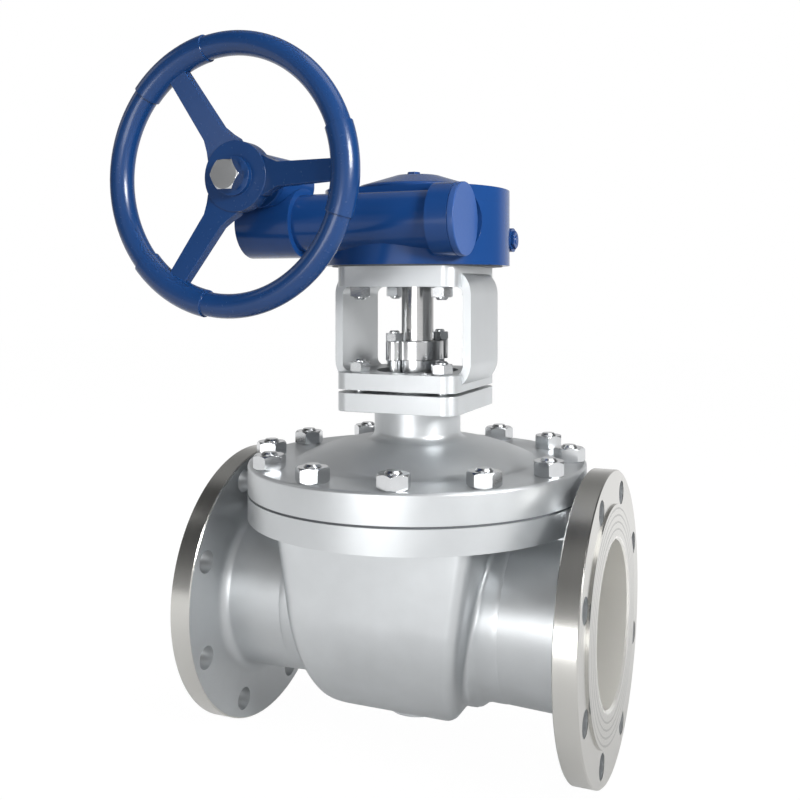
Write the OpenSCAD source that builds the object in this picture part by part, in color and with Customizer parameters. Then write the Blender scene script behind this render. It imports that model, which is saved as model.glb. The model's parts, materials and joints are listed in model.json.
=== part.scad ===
// Trunnion mounted ball valve with a bolted bonnet, a bracket and a worm gear with a handwheel.
// Frame: the origin is where the pipe axis meets the stem axis. +X runs along the pipe,
// -Y faces the handwheel and +Z runs up the stem. The valve is drawn fully open.

/* [Pipe ends] */
// Bore through both ports, the seats and the ball
bore_d = 150; // [146:1:152]
// Distance from one raised face to the other
face_to_face = 394; // [380:1:410]
// Outside diameter of the pipe flanges
flange_d = 279.4; // [276:0.1:290]
// Thickness of the flange discs without their raised faces
flange_t = 21.4; // [18:0.1:26]
// Diameter of the raised faces
raised_d = 215.9; // [206:0.1:216]
// Height of the raised faces
raised_h = 2; // [1.5:0.1:4]
// Number of bolt holes in each flange
flange_bolts = 8; // [4:4:12]
// Bolt circle of the pipe flanges
flange_pcd = 241.3; // [240:0.1:246]
// Diameter of the flange bolt holes
flange_hole_d = 22.2; // [18:0.1:23]
// How much wider the bolt holes of the outlet flange are
outlet_hole_extra = 0.4; // [0.3:0.1:0.8]
// Outside diameter of the necks where they leave the seat housings
neck_d = 166; // [164:1:170]
// Outside diameter of the necks at the back of the flanges
neck_end_d = 171; // [168:1:173]
// Outside diameter of the seat housings where the necks leave the body
hub_d = 180; // [178:1:184]
// Width of the webs that join the necks to the body's top flange
web_w = 60; // [40:2:80]
// Fillet between a neck and the back of its flange
neck_fillet = 10; // [6:1:14]
// Chamfer at the mouth of each port
port_chamfer = 2; // [1:0.5:3]

/* [Body] */
// Depth of the bucket from its front face to its rear face
bucket_depth = 234; // [230:1:246]
// Width of the bucket at the pipe axis
bucket_w = 167; // [164:1:180]
// How much each side face leans out for each unit of height
bucket_draft = 0.155; // [0.12:0.005:0.18]
// Height of the axis about which the bottom of the bucket is rounded
bowl_rise = 12; // [8:1:16]
// Depth of the flat bottom under the pipe axis
bucket_drop = 98; // [96:1:102]
// Rounding of the bucket's upright edges
bucket_edge_r = 12; // [8:1:16]
// Extra rounding of the sides where they reach the bottom
bucket_low_r = 20; // [16:1:22]
// Height of the joint between body and bonnet above the pipe axis
joint_z = 110; // [108:1:114]
// Gap between the rim of the body's top flange and the backs of the pipe flanges
rim_gap = 6.1; // [4:0.1:8]
// Thickness of the body's top flange
top_flange_t = 23; // [23:1:28]
// Diameter of the ball chamber
chamber_d = 204; // [203:1:206]
// Diameter of the round boss under the bottom
foot_d = 56; // [54:1:64]
// Drop of the boss below the bottom
foot_h = 10; // [8:1:14]

/* [Ball and seats] */
// Diameter of the ball
ball_d = 200; // [198:1:201]
// Distance between the flats on top of and under the ball
ball_flats = 170; // [168:1:172]
// Diameter of the lower trunnion
low_pin_d = 36; // [30:1:38]
// Length of the lower trunnion
low_pin_l = 15.7; // [14:0.1:16]
// Diameter of the upper trunnion
high_pin_d = 60; // [56:1:64]
// Length of the upper trunnion
high_pin_l = 30; // [29:1:31]
// Wall of the trunnion bushes
bush_wall = 4; // [3:0.5:5]
// Radial width of the seat rings
seat_w = 7.5; // [6:0.5:8]
// Distance of the seat pocket's bottom from the stem axis
seat_back = 76; // [75:1:78]
// Space for the spring behind each seat
seat_spring_t = 2; // [1.5:0.5:3]
// Cord of the seat O-rings
o_ring_d = 2.4; // [2:0.1:3]

/* [Bonnet] */
// Thickness of the gasket
gasket_t = 2; // [1:0.5:3]
// Inset of the gasket from the rim of the flanges
gasket_inset = 1.5; // [1:0.5:3]
// Thickness of the bonnet flange
bonnet_t = 28; // [26:1:32]
// Rounding of the bonnet flange's top edge
bonnet_edge_r = 3; // [2:0.5:5]
// Diameter of the spigot that centres the bonnet
spigot_d = 224; // [222:1:228]
// Depth of the spigot below the joint
spigot_h = 15; // [12:1:16]
// Distance of the dome's foot inside the bolt circle
dome_edge = 29.5; // [26:0.5:32]
// Height of the dome
dome_h = 20; // [16:1:24]
// Diameter of the bonnet neck
bonnet_neck_d = 86; // [82:1:92]
// Height of the square flange above the bonnet's joint face
bonnet_neck_h = 79; // [74:1:86]
// Width of the square flange
square_w = 124; // [116:1:128]
// Thickness of the square flange
square_t = 18; // [16:1:22]
// Corner radius of the square flange
square_r = 13; // [8:1:18]
// Number of bonnet studs
bonnet_studs_n = 12; // [8:4:16]
// Distance of the bonnet studs from the rim of the flanges
bonnet_bolt_edge = 17; // [16:0.5:19]
// Diameter of the bonnet studs
bonnet_stud_d = 16; // [14:1:18]
// Depth of the bonnet studs in the body
bonnet_stud_in = 20; // [16:1:21]
// Width of the bonnet nuts over their flats
bonnet_nut_w = 27; // [24:1:28]
// Height of the bonnet nuts
bonnet_nut_h = 13.5; // [12:0.5:16]
// Length of stud that stands out of a nut
stud_end = 2.5; // [2:0.5:6]

/* [Stem and packing] */
// Diameter of the stem
stem_d = 32; // [30:1:33]
// Diameter of the stem's blow-out collar
stem_collar_d = 48; // [44:1:52]
// Height of the collar
stem_collar_h = 8; // [6:1:9]
// Thickness of the washer over the collar
washer_t = 2; // [1.5:0.5:3]
// Width of the stem's tang
tang_w = 14; // [12:1:18]
// Length of the tang
tang_l = 50; // [46:1:54]
// Depth of the tang
tang_h = 12; // [10:1:14]
// Diameter of the stuffing box
box_d = 44; // [42:1:45]
// Depth of the stuffing box below the square flange's top
box_depth = 50; // [46:1:54]
// Number of packing rings
packing_n = 4; // [3:1:5]
// Height of one packing ring
packing_h = 8; // [7:0.5:8.5]
// Thickness of the gland flange
gland_t = 19; // [14:1:22]
// Height of the gland flange above the square flange's top
gland_rise = 29.5; // [27:0.5:34]
// Distance of each gland stud from the stem axis
gland_stud_x = 28.5; // [28:0.5:31]
// Turn of the gland studs from the line of the pipe
gland_angle = 60; // [0:5:90]
// Diameter of the gland studs
gland_stud_d = 10; // [8:1:10]
// Width of the gland nuts over their flats
gland_nut_w = 16; // [15:1:17]
// Height of the gland nuts
gland_nut_h = 8; // [7:0.5:10]

/* [Bracket] */
// Height of the seat that carries the bracket
bracket_gap = 3; // [2:0.5:4]
// Diameter of that seat
bracket_seat_d = 92; // [84:1:96]
// Height of the bracket
bracket_h = 118.6; // [112:0.1:126]
// Thickness of the bracket's bottom plate
bracket_low_t = 16; // [14:1:20]
// Thickness of the bracket's top plate
bracket_high_t = 19.6; // [16:0.1:22]
// Width of the bracket over its side walls
bracket_w = 142; // [138:1:150]
// Thickness of the side walls
bracket_wall = 8; // [6:1:10]
// Depth of the side walls from front to rear
bracket_depth = 82; // [76:1:112]
// Outer radius of the side walls' bends
bracket_bend_r = 27; // [22:1:32]
// Radius in the corners of the bracket's window
bracket_inner_r = 8; // [4:1:8]
// Opening in the plates round the stem and the gland
bracket_hole_d = 82; // [80:1:84]
// Half the spacing of the bracket bolts
bracket_bolt_x = 43; // [42:1:46]
// Diameter of the bracket bolts
bracket_bolt_d = 12; // [10:1:12]
// Width of the bracket nuts over their flats
bracket_nut_w = 19; // [18:1:21]
// Height of the bracket nuts
bracket_nut_h = 10; // [8:0.5:12]

/* [Gearbox] */
// Thickness of the gasket under the gearbox
base_gasket_t = 1; // [0.5:0.5:2]
// Diameter of the round housing
drum_d = 184; // [180:1:190]
// Height of the round housing
drum_h = 60; // [58:1:64]
// Thickness of the housing's floor
drum_floor = 14; // [12:1:16]
// Wall of the round housing
drum_wall = 10; // [9.5:0.5:11]
// Thickness of the cover
cover_t = 14; // [12:1:16]
// Diameter of the low cone on the cover
cap_d = 120; // [112:1:126]
// Diameter of the flat top of the cone
cap_top_d = 48; // [40:1:64]
// Height of the cone
cap_h = 16; // [12:1:18]
// Reach of the stop bosses beyond the drum
stop_boss_l = 5; // [5:0.5:8]
// Height of the stop screws above the gearbox's bottom
stop_rise = 26.4; // [25:0.1:28]
// Diameter of the stop screws
stop_d = 10; // [8:1:10]
// Width of the stop nuts over their flats
stop_nut_w = 16; // [15:1:17]
// Thickness of the stop nuts
stop_nut_t = 3; // [3:0.5:7]
// Height of the worm above the gearbox's bottom
worm_rise = 40.4; // [39.5:0.1:41]
// Diameter of the tube round the worm
tube_d = 55; // [54:1:58]
// Diameter of the bearing housings at the ends of the tube
tube_end_d = 67; // [64:1:72]
// Outer end of the right bearing housing
tube_right_x = 72; // [71:1:76]
// Inner end of the right bearing housing
tube_step_x = 51; // [49:1:54]
// Thickness of the cap on the right end
end_cap_t = 6.5; // [4:0.5:8]
// Seam between the housing and the input gear case, left of the stem axis
case_seam_x = 102.6; // [101:0.1:104]
// Left end of the input gear case, left of the stem axis
case_end_x = 144; // [142:1:150]
// Inner end of the left bearing housing, left of the stem axis
tube_left_x = 86; // [84:1:88]

/* [Gears] */
// Module of the worm and its sector
gear_module = 3; // [3:0.5:3]
// Teeth that the sector would have as a full wheel
sector_teeth_full = 40; // [40:1:40]
// Pitch diameter of the worm
worm_pitch_d = 30; // [29:1:31]
// Clearance between the flanks of the teeth
backlash = 0.8; // [0.6:0.1:1.2]
// Thickness of the sector
sector_t = 16; // [14:1:18]
// Diameter of the worm shaft
worm_shaft_d = 24; // [20:1:24]
// Distance between the input shaft and the worm shaft
input_rise = 38; // [37:1:40]
// Distance of the input shaft left of the stem axis
input_left = 113; // [112:1:114]
// Teeth of each input gear
input_teeth = 10; // [10:1:10]
// Width of each input gear
input_gear_w = 12; // [10:1:13]
// Diameter of the input shaft
input_shaft_d = 20; // [18:1:22]

/* [Handwheel] */
// Outside diameter of the handwheel
wheel_d = 255; // [240:1:280]
// Diameter of the rim's section
rim_d = 22; // [18:1:26]
// Diameter of the thicker grips on the rim
grip_d = 25; // [23:1:30]
// Angle that each grip covers
grip_angle = 38; // [28:1:48]
// Distance of the rim's plane in front of the stem axis
wheel_out = 165; // [160:1:172]
// Set-back of the hub plate behind the rim's plane
wheel_dish = 17; // [12:1:22]
// Thickness of the hub plate
hub_plate_t = 14; // [12:1:16]
// Diameter of the hub plate
hub_plate_d = 64; // [58:1:72]
// Thickness of the spokes
spoke_t = 10; // [8:1:12]
// Width of a spoke at the hub
spoke_wide = 36; // [32:1:42]
// Width of a spoke at the rim
spoke_narrow = 18; // [15:1:24]
// Diameter of the hub boss
boss_d = 36; // [32:1:42]
// Length of the hub boss
boss_l = 26; // [24:1:30]
// Width of the nut on the hub
wheel_nut_w = 26; // [24:1:28]
// Height of that nut
wheel_nut_h = 11; // [10:1:14]
// Thickness of the washer under it
wheel_washer_t = 1.5; // [1:0.5:3]

/* [Clearances] */
// Radial clearance of turning fits
run_gap = 0.05; // [0.02:0.01:0.08]
// Clearance between moving parts that do not touch
free_gap = 0.3; // [0.3:0.1:0.5]
// Radial clearance of bolts in their holes
bolt_gap = 1; // [0.5:0.5:1]

/* [Hidden] */
$fn = 96;
eps = 0.01;

bore_r = bore_d / 2;
ball_r = ball_d / 2;
chamber_r = chamber_d / 2;
face_x = face_to_face / 2;
flange_x = face_x - raised_h;
flange_back_x = flange_x - flange_t;
seat_r = bore_r + seat_w;
seat_pocket_r = seat_r + 0.2;
top_flange_d = 2 * (flange_back_x - rim_gap);
bonnet_pcd = top_flange_d - 2 * bonnet_bolt_edge;
dome_d = bonnet_pcd - 2 * dome_edge;
bucket_r = bucket_depth / 2;
flange_under_z = joint_z - top_flange_t;
bonnet_z = joint_z + gasket_t;
bonnet_top_z = bonnet_z + bonnet_t;
square_z = bonnet_z + bonnet_neck_h;
square_top_z = square_z + square_t;
bracket_z = square_top_z + bracket_gap;
bracket_floor_z = bracket_z + bracket_low_t;
bracket_top_z = bracket_z + bracket_h;
bracket_roof_z = bracket_top_z - bracket_high_t;
gearbox_z = bracket_top_z + base_gasket_t;
drum_top_z = gearbox_z + drum_h;
cover_top_z = drum_top_z + cover_t;
worm_z = gearbox_z + worm_rise;
worm_root_r = worm_pitch_d / 2 - 1.25 * gear_module;
sector_pitch_r = gear_module * sector_teeth_full / 2;
worm_y = sector_pitch_r + worm_pitch_d / 2;
input_z = worm_z + input_rise;
steel = "#b9bcc0";
bright = "#d3d6d8";
casting = "#a9adb0";
paint = "#1f437a";
dark = "#2b2b2d";
brass = "#b08d45";
white = "#e9e6dc";

// Hexagonal prism that stands on the plane z = 0
module hex(across, height) {
    cylinder(d = across / cos(30), h = height, $fn = 6);
}

// Nut with its top and bottom corners turned off, for a bolt of diameter bolt_d, closed on top by a crown
module nut(across, height, bolt_d, crown = 0) {
    difference() {
        intersection() {
            hex(across, height);
            rotate_extrude()
                polygon([[0, 0], [across * 0.5, 0], [across * 0.58, height * 0.14],
                    [across * 0.58, height * 0.86], [across * 0.5, height], [0, height]]);
        }
        translate([0, 0, -1]) cylinder(d = bolt_d, h = height + (crown > 0 ? 1 - crown : 2));
    }
}

// Stud with a chamfer at its upper end
module stud(diameter, length) {
    chamfer = diameter / 8;
    cylinder(d = diameter, h = length - chamfer);
    translate([0, 0, length - chamfer - eps])
        cylinder(d1 = diameter, d2 = diameter - 2 * chamfer, h = chamfer + eps);
}

// Ring between two radii
module ring(outer_r, inner_r, height) {
    difference() {
        cylinder(r = outer_r, h = height);
        translate([0, 0, -1]) cylinder(r = inner_r, h = height + 2);
    }
}

// Plate with round corners in plan
module round_plate(width, depth, thickness, corner_r) {
    linear_extrude(thickness) {
        square([width - 2 * corner_r, depth], center = true);
        square([width, depth - 2 * corner_r], center = true);
        for (x = [-1, 1], y = [-1, 1])
            translate([x * (width / 2 - corner_r), y * (depth / 2 - corner_r)]) circle(corner_r);
    }
}

module on_circle(diameter, count, phase = 0) {
    for (i = [0:count - 1]) rotate(phase + i * 360 / count) translate([diameter / 2, 0, 0]) children();
}

module at_gland_studs() {
    rotate(gland_angle) for (x = [-1, 1]) translate([x * gland_stud_x, 0, 0]) children();
}

module at_corners(half) {
    for (x = [-half, half], y = [-half, half]) translate([x, y, 0]) children();
}

// Turns what runs up +Z so that it runs along the pipe
module along_pipe() {
    rotate([0, 90, 0]) children();
}

// Puts what runs up +Z on the worm's axis, where up is to the right
module on_worm() {
    translate([0, -worm_y, worm_z]) rotate([0, 90, 0]) children();
}

// Puts what runs up +Z on the input shaft's axis, where up is towards the handwheel
module on_input() {
    translate([-input_left, 0, input_z]) rotate([90, 0, 0]) children();
}

// Points of an arc
function arc(x, y, r, a0, a1, n = 8) =
    [for (i = [0:n]) let (a = a0 + (a1 - a0) * i / n) [x + r * cos(a), y + r * sin(a)]];

// Half the width of the bucket at a height, rounded in towards the bottom
function bucket_half(z) = bucket_w / 2 + bucket_draft * z
    - (z < bucket_low_r - bucket_drop
        ? bucket_low_r - sqrt(max(0, pow(bucket_low_r, 2) - pow(bucket_low_r - bucket_drop - z, 2))) : 0);

// Bucket with leaning sides, a flat front and a bottom rounded about the pipe's direction
module bucket() {
    edge = bucket_edge_r;
    arm = bucket_r - edge;
    last = asin((bucket_drop + bowl_rise - edge) / arm);
    hull() {
        for (step = [0:8], x = [-1, 1], y = [-1, 1]) {
            angle = last * step / 8;
            z = bowl_rise - arm * sin(angle);
            translate([x * (bucket_half(z - edge * sin(angle)) - edge), y * arm * cos(angle), z])
                sphere(edge, $fn = 32);
        }
        for (x = [-1, 1], y = [-1, 1])
            translate([x * (bucket_half(flange_under_z) - edge), y * arm, flange_under_z - 1])
                cylinder(r = edge, h = 5, $fn = 32);
    }
}

// One pipe end: seat housing, neck, fillet, flange and raised face
module pipe_end() {
    end_r = neck_end_d / 2;
    fillet_x = flange_back_x - neck_fillet;
    along_pipe() rotate_extrude(convexity = 4)
        polygon(concat([[0, 0], [hub_d / 2, 0], [hub_d / 2, seat_back], [neck_d / 2, seat_back + 10]],
            arc(end_r + neck_fillet, fillet_x, neck_fillet, 180, 90),
            [[flange_d / 2 - 1, flange_back_x], [flange_d / 2, flange_back_x + 1],
                [flange_d / 2, flange_x - 1], [flange_d / 2 - 1, flange_x],
                [raised_d / 2, flange_x], [raised_d / 2, face_x], [0, face_x]]));
}

// Space in which the ball turns, with flat sides so that it can be lifted out
module ball_chamber() {
    floor_z = -ball_flats / 2 - 0.5;
    low_half = sqrt(pow(ball_r, 2) - pow(seat_pocket_r, 2)) + 1;
    high_half = sqrt(pow(ball_r, 2) - pow(bore_r, 2)) + 2.5;
    intersection() {
        union() {
            cylinder(r = chamber_r, h = joint_z + 1);
            difference() {
                sphere(chamber_r);
                translate([-chamber_r, -chamber_r, floor_z - chamber_r])
                    cube([chamber_d, chamber_d, chamber_r]);
            }
        }
        union() {
            translate([-high_half, -chamber_r, 0]) cube([2 * high_half, chamber_d, joint_z + 1]);
            translate([-low_half, -chamber_r, floor_z])
                cube([2 * low_half, chamber_d, joint_z + 1 - floor_z]);
        }
    }
}

module valve_body() {
    fillet_from = flange_back_x - neck_fillet;
    color(casting) difference() {
        union() {
            bucket();
            pipe_end();
            mirror([1, 0, 0]) pipe_end();
            translate([4 - fillet_from, -web_w / 2, neck_d / 4])
                cube([2 * (fillet_from - 4), web_w, flange_under_z + 1 - neck_d / 4]);
            translate([0, 0, flange_under_z]) cylinder(d = top_flange_d, h = top_flange_t);
            translate([0, 0, -bucket_drop - foot_h]) cylinder(d = foot_d, h = foot_h + 5);
        }
        ball_chamber();
        translate([0, 0, joint_z - spigot_h]) cylinder(d = spigot_d + 0.4, h = spigot_h + 1);
        translate([0, 0, -ball_flats / 2 - low_pin_l - 0.3])
            cylinder(r = low_pin_d / 2 + run_gap + bush_wall, h = 2 * low_pin_l);
        along_pipe() {
            translate([0, 0, -seat_back]) cylinder(r = seat_pocket_r, h = 2 * seat_back);
            translate([0, 0, -face_x - 1]) cylinder(r = bore_r, h = face_to_face + 2);
        }
        for (side = [0, 1]) mirror([side, 0, 0]) along_pipe() {
            translate([0, 0, face_x - port_chamfer])
                cylinder(r1 = bore_r, r2 = bore_r + port_chamfer + eps, h = port_chamfer + eps);
            translate([0, 0, flange_back_x - 1])
                on_circle(flange_pcd, flange_bolts, 180 / flange_bolts)
                    cylinder(d = flange_hole_d + (1 - side) * outlet_hole_extra, h = flange_t + 2);
        }
        translate([0, 0, joint_z - bonnet_stud_in])
            on_circle(bonnet_pcd, bonnet_studs_n, 180 / bonnet_studs_n)
                cylinder(d = bonnet_stud_d, h = bonnet_stud_in + 1);
    }
}

module bonnet_gasket() {
    color(dark) translate([0, 0, joint_z]) difference() {
        ring(top_flange_d / 2 - gasket_inset, spigot_d / 2 + 0.2, gasket_t);
        translate([0, 0, -1]) on_circle(bonnet_pcd, bonnet_studs_n, 180 / bonnet_studs_n)
            cylinder(d = bonnet_stud_d + 2 * bolt_gap, h = gasket_t + 2);
    }
}

// Half outline of the bonnet from its spigot to the top of its neck
module bonnet_outline() {
    flange_r = top_flange_d / 2;
    neck_r = bonnet_neck_d / 2;
    dome_r = dome_d / 2;
    blend = 8;
    polygon(concat([[0, joint_z - spigot_h], [spigot_d / 2, joint_z - spigot_h], [spigot_d / 2, bonnet_z],
            [flange_r, bonnet_z]],
        arc(flange_r - bonnet_edge_r, bonnet_top_z - bonnet_edge_r, bonnet_edge_r, 0, 90, 4),
        [[dome_r, bonnet_top_z]],
        [for (i = [1:7]) let (u = i / 8)
            [dome_r - (dome_r - neck_r - blend) * u, bonnet_top_z + dome_h * (1 - pow(1 - u, 1.7))]],
        arc(neck_r + blend, bonnet_top_z + dome_h + blend, blend, 270, 180, 5),
        [[neck_r, square_z + 1], [0, square_z + 1]]));
}

module bonnet() {
    shoulder_z = ball_flats / 2 + high_pin_l + 0.2 + stem_collar_h + washer_t + 0.1;
    color(casting) difference() {
        union() {
            rotate_extrude(convexity = 4) bonnet_outline();
            translate([0, 0, square_z]) round_plate(square_w, square_w, square_t, square_r);
            translate([0, 0, square_top_z - 1]) cylinder(d = bracket_seat_d, h = bracket_gap + 1);
        }
        translate([0, 0, joint_z - spigot_h - 1])
            cylinder(r = high_pin_d / 2 + run_gap + bush_wall,
                h = ball_flats / 2 + high_pin_l + 0.2 - joint_z + spigot_h + 1);
        translate([0, 0, joint_z - spigot_h]) cylinder(d = stem_collar_d + 1, h = shoulder_z - joint_z + spigot_h);
        translate([0, 0, shoulder_z - 1]) cylinder(d = stem_d + 2 * run_gap, h = square_top_z - shoulder_z);
        translate([0, 0, square_top_z - box_depth]) cylinder(d = box_d, h = box_depth + bracket_gap + 1);
        translate([0, 0, bonnet_z - 1]) on_circle(bonnet_pcd, bonnet_studs_n, 180 / bonnet_studs_n)
            cylinder(d = bonnet_stud_d + 2 * bolt_gap, h = bonnet_t + 2);
        translate([0, 0, square_z - 1]) at_corners(bracket_bolt_x) cylinder(d = bracket_bolt_d, h = square_t + 2);
        at_gland_studs() translate([0, 0, square_top_z - square_t])
            cylinder(d = gland_stud_d, h = square_t + bracket_gap + 1);
    }
}

module bonnet_studs() {
    color(steel) translate([0, 0, joint_z - bonnet_stud_in])
        on_circle(bonnet_pcd, bonnet_studs_n, 180 / bonnet_studs_n)
            stud(bonnet_stud_d, bonnet_stud_in + gasket_t + bonnet_t + bonnet_nut_h + stud_end);
}

module bonnet_nuts() {
    color(bright) translate([0, 0, bonnet_top_z])
        on_circle(bonnet_pcd, bonnet_studs_n, 180 / bonnet_studs_n)
            nut(bonnet_nut_w, bonnet_nut_h, bonnet_stud_d);
}

module ball() {
    half = ball_flats / 2;
    color(bright) difference() {
        union() {
            intersection() {
                sphere(ball_r);
                translate([0, 0, -half]) cylinder(r = ball_r + 1, h = ball_flats);
            }
            translate([0, 0, half - 1]) cylinder(d = high_pin_d, h = high_pin_l + 1);
            translate([0, 0, -half - low_pin_l]) cylinder(d = low_pin_d, h = low_pin_l + 1);
        }
        along_pipe() translate([0, 0, -ball_r]) cylinder(r = bore_r, h = ball_d);
        translate([-tang_w / 2 - 0.2, -high_pin_d / 2 - 1, half + high_pin_l - tang_h])
            cube([tang_w + 0.4, high_pin_d + 2, tang_h + 1]);
    }
}

module lower_bush() {
    inner = low_pin_d / 2 + run_gap;
    color(brass) translate([0, 0, -ball_flats / 2 - low_pin_l - 0.3])
        ring(inner + bush_wall, inner, low_pin_l);
}

module upper_bush() {
    inner = high_pin_d / 2 + run_gap;
    color(brass) translate([0, 0, joint_z - spigot_h])
        ring(inner + bush_wall, inner, ball_flats / 2 + high_pin_l - joint_z + spigot_h - 1);
}

// Seat ring with a spherical face towards the ball and a groove for its O-ring
module seat_ring() {
    seat_end = seat_back - seat_spring_t;
    difference() {
        along_pipe() translate([0, 0, seat_back - 22]) ring(seat_r, bore_r, 22 - seat_spring_t);
        sphere(ball_r + free_gap);
        along_pipe() translate([0, 0, seat_end - 2 * o_ring_d])
            ring(seat_r + 1, seat_pocket_r - o_ring_d, o_ring_d + 0.4);
    }
}

module seat_ring_right() {
    color(white) seat_ring();
}

module seat_ring_left() {
    color(white) mirror([1, 0, 0]) seat_ring();
}

module seat_springs() {
    color(steel) for (side = [0, 1]) mirror([side, 0, 0]) along_pipe()
        translate([0, 0, seat_back - seat_spring_t]) ring(seat_r - 1, bore_r + 1.5, seat_spring_t);
}

module seat_o_rings() {
    x = seat_back - seat_spring_t - 2 * o_ring_d + o_ring_d / 2 + 0.2;
    color(dark) for (side = [0, 1]) mirror([side, 0, 0]) along_pipe() translate([0, 0, x])
        rotate_extrude() translate([seat_pocket_r - o_ring_d / 2, 0]) circle(d = o_ring_d, $fn = 24);
}

// Top of the stem, inside the gearbox
stem_top_z = cover_top_z - 2;

module stem() {
    collar_z = ball_flats / 2 + high_pin_l + 0.2;
    tang_z = ball_flats / 2 + high_pin_l - tang_h + 0.3;
    color(bright) difference() {
        union() {
            translate([-tang_w / 2, -tang_l / 2, tang_z]) cube([tang_w, tang_l, collar_z - tang_z]);
            translate([0, 0, collar_z]) cylinder(d = stem_collar_d, h = stem_collar_h);
            translate([0, 0, collar_z]) stud(stem_d, stem_top_z - collar_z);
        }
        sector_keyway();
    }
}

module stem_washer() {
    color(white) translate([0, 0, ball_flats / 2 + high_pin_l + 0.2 + stem_collar_h + 0.1])
        ring(stem_collar_d / 2, stem_d / 2 + free_gap, washer_t);
}

module packing_rings() {
    color(white) for (i = [0:packing_n - 1])
        translate([0, 0, square_top_z - box_depth + i * packing_h])
            ring(box_d / 2, stem_d / 2 + run_gap, packing_h);
}

// Height of the gland flange's underside
gland_z = square_top_z + gland_rise;

module gland_bush() {
    low_z = square_top_z - box_depth + packing_n * packing_h;
    color(steel) translate([0, 0, low_z]) ring(box_d / 2 - 0.2, stem_d / 2 + free_gap, gland_z - low_z);
}

module gland_flange() {
    end_r = 8.5;
    color(steel) difference() {
        translate([0, 0, gland_z]) linear_extrude(gland_t) {
            circle(box_d / 2 + 4);
            at_gland_studs() circle(end_r);
        }
        translate([0, 0, gland_z - 1]) {
            cylinder(d = stem_d + 1, h = gland_t + 2);
            at_gland_studs() cylinder(d = gland_stud_d + 0.5, h = gland_t + 2);
        }
    }
}

module gland_studs() {
    color(steel) at_gland_studs() translate([0, 0, square_top_z - square_t])
        stud(gland_stud_d, square_t + gland_rise + gland_t + gland_nut_h + stud_end);
}

module gland_nuts() {
    color(bright) at_gland_studs() translate([0, 0, gland_z + gland_t])
        nut(gland_nut_w, gland_nut_h, gland_stud_d);
}

// Rectangle with round corners, drawn about its centre
module round_rect(width, height, corner_r) {
    square([width - 2 * corner_r, height], center = true);
    square([width, height - 2 * corner_r], center = true);
    for (x = [-1, 1], y = [-1, 1])
        translate([x * (width / 2 - corner_r), y * (height / 2 - corner_r)]) circle(corner_r);
}

module bracket() {
    window_h = bracket_h - bracket_low_t - bracket_high_t;
    window_z = bracket_floor_z + window_h / 2;
    color(casting) difference() {
        union() {
            translate([0, bracket_depth / 2, bracket_z + bracket_h / 2]) rotate([90, 0, 0])
                linear_extrude(bracket_depth) round_rect(bracket_w, bracket_h, bracket_bend_r);
            translate([0, 0, bracket_z]) round_plate(square_w, square_w, bracket_low_t, square_r);
            translate([0, 0, bracket_roof_z]) round_plate(square_w, square_w, bracket_high_t, square_r);
        }
        translate([0, square_w, window_z]) rotate([90, 0, 0]) linear_extrude(2 * square_w)
            round_rect(bracket_w - 2 * bracket_wall, window_h, bracket_inner_r);
        translate([0, 0, bracket_z - 1]) cylinder(d = bracket_hole_d, h = bracket_low_t + 2);
        translate([0, 0, bracket_roof_z - 1]) cylinder(d = stem_d + 8, h = bracket_high_t + 2);
        translate([0, 0, bracket_z - 1]) at_corners(bracket_bolt_x)
            cylinder(d = bracket_bolt_d + 2 * bolt_gap, h = bracket_h + 2);
    }
}

module bracket_lower_studs() {
    color(steel) translate([0, 0, square_z]) at_corners(bracket_bolt_x)
        stud(bracket_bolt_d, bracket_floor_z - square_z + bracket_nut_h + stud_end);
}

module bracket_lower_nuts() {
    color(bright) translate([0, 0, bracket_floor_z]) at_corners(bracket_bolt_x)
        nut(bracket_nut_w, bracket_nut_h, bracket_bolt_d);
}

// How deep the upper studs go into the gearbox floor
upper_stud_in = 10;

module bracket_upper_studs() {
    color(steel) translate([0, 0, gearbox_z + upper_stud_in]) at_corners(bracket_bolt_x) mirror([0, 0, 1])
        stud(bracket_bolt_d, upper_stud_in + base_gasket_t + bracket_high_t + bracket_nut_h + stud_end);
}

module bracket_upper_nuts() {
    color(bright) translate([0, 0, bracket_roof_z - bracket_nut_h]) at_corners(bracket_bolt_x)
        nut(bracket_nut_w, bracket_nut_h, bracket_bolt_d);
}

module base_gasket() {
    color(dark) difference() {
        translate([0, 0, bracket_top_z]) cylinder(d = drum_d - 14, h = base_gasket_t);
        translate([0, 0, bracket_top_z - 1]) {
            cylinder(d = stem_d + 8, h = base_gasket_t + 2);
            at_corners(bracket_bolt_x) cylinder(d = bracket_bolt_d + 2 * bolt_gap, h = base_gasket_t + 2);
        }
    }
}

// Distance of the cover's flat front from the stem axis
cover_front = 70;

// Cover screws and their depth in the housing
screw_d = 5;
screw_head_d = 8.5;
screw_in = 10;

// Sector journals, stops and bearings of the gearbox
journal_d = 52;
stop_y = 40;
stop_z = gearbox_z + stop_rise;
stop_boss_d = 24;
lug_w = 24;
stop_tip_x = stop_y + stop_d / 2 + lug_w / 2 * sqrt(2) + free_gap;
right_bearing_r = 26;
left_bearing_r = 16;
right_bearing_w = 14;
left_bearing_w = 10;
cross_addendum = 1.8;
cross_dedendum = 2.7;
cross_backlash = 0.9;
gear_tip_r = input_rise / 2 + cross_addendum + 0.3;
gear_room_r = gear_tip_r + 1;
turret_r = gear_room_r + 3.5;
turret_front = 112;
turret_back = 54;
turret_tail = 44;
turret_tail_r = 20;
worm_tip_r = worm_pitch_d / 2 + gear_module;

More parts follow.
